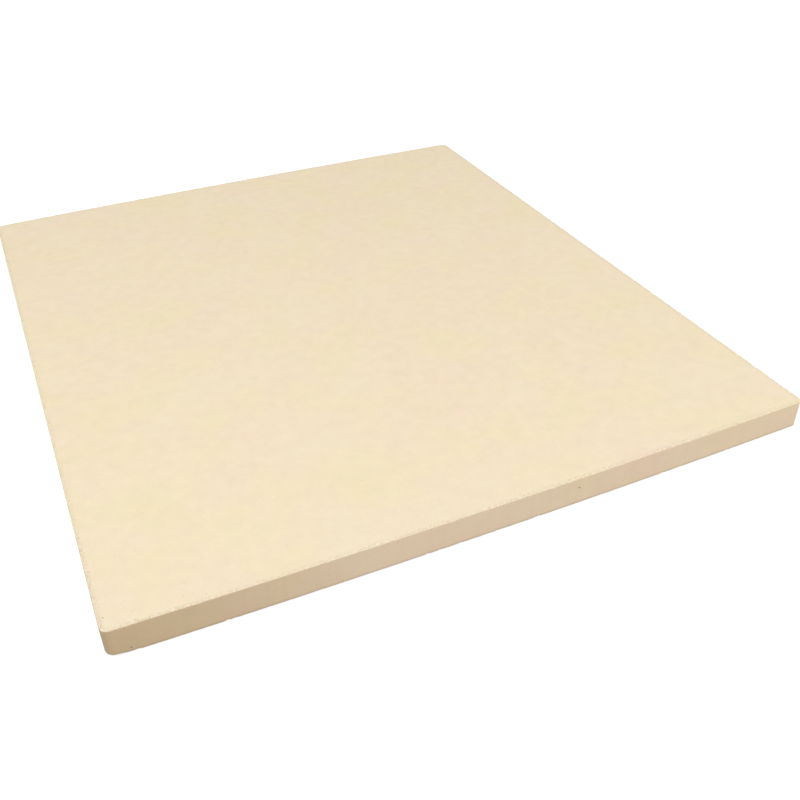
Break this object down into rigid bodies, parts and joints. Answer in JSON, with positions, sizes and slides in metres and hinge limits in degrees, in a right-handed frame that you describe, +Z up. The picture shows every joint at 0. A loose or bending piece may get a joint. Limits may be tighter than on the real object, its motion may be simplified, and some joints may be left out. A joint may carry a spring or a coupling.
{
  "type": "pizza stone",
  "caption": "Rectangular slab of unglazed cream cordierite with rounded corners and eased edges, for baking on in an oven or a grill.",
  "frame": {"origin": "centre of the underside, on the surface that the slab rests on", "axes": "+X along the width, from the left side to the right side; +Y along the depth, from the front side to the back side; +Z up, out of the baking face"},
  "size_m": [0.3556, 0.4064, 0.0152],
  "materials": {
    "cordierite": "matte"
  },
  "bodies": {
    "root": {"baking_slab": "cordierite"}
  },
  "joints": []
}
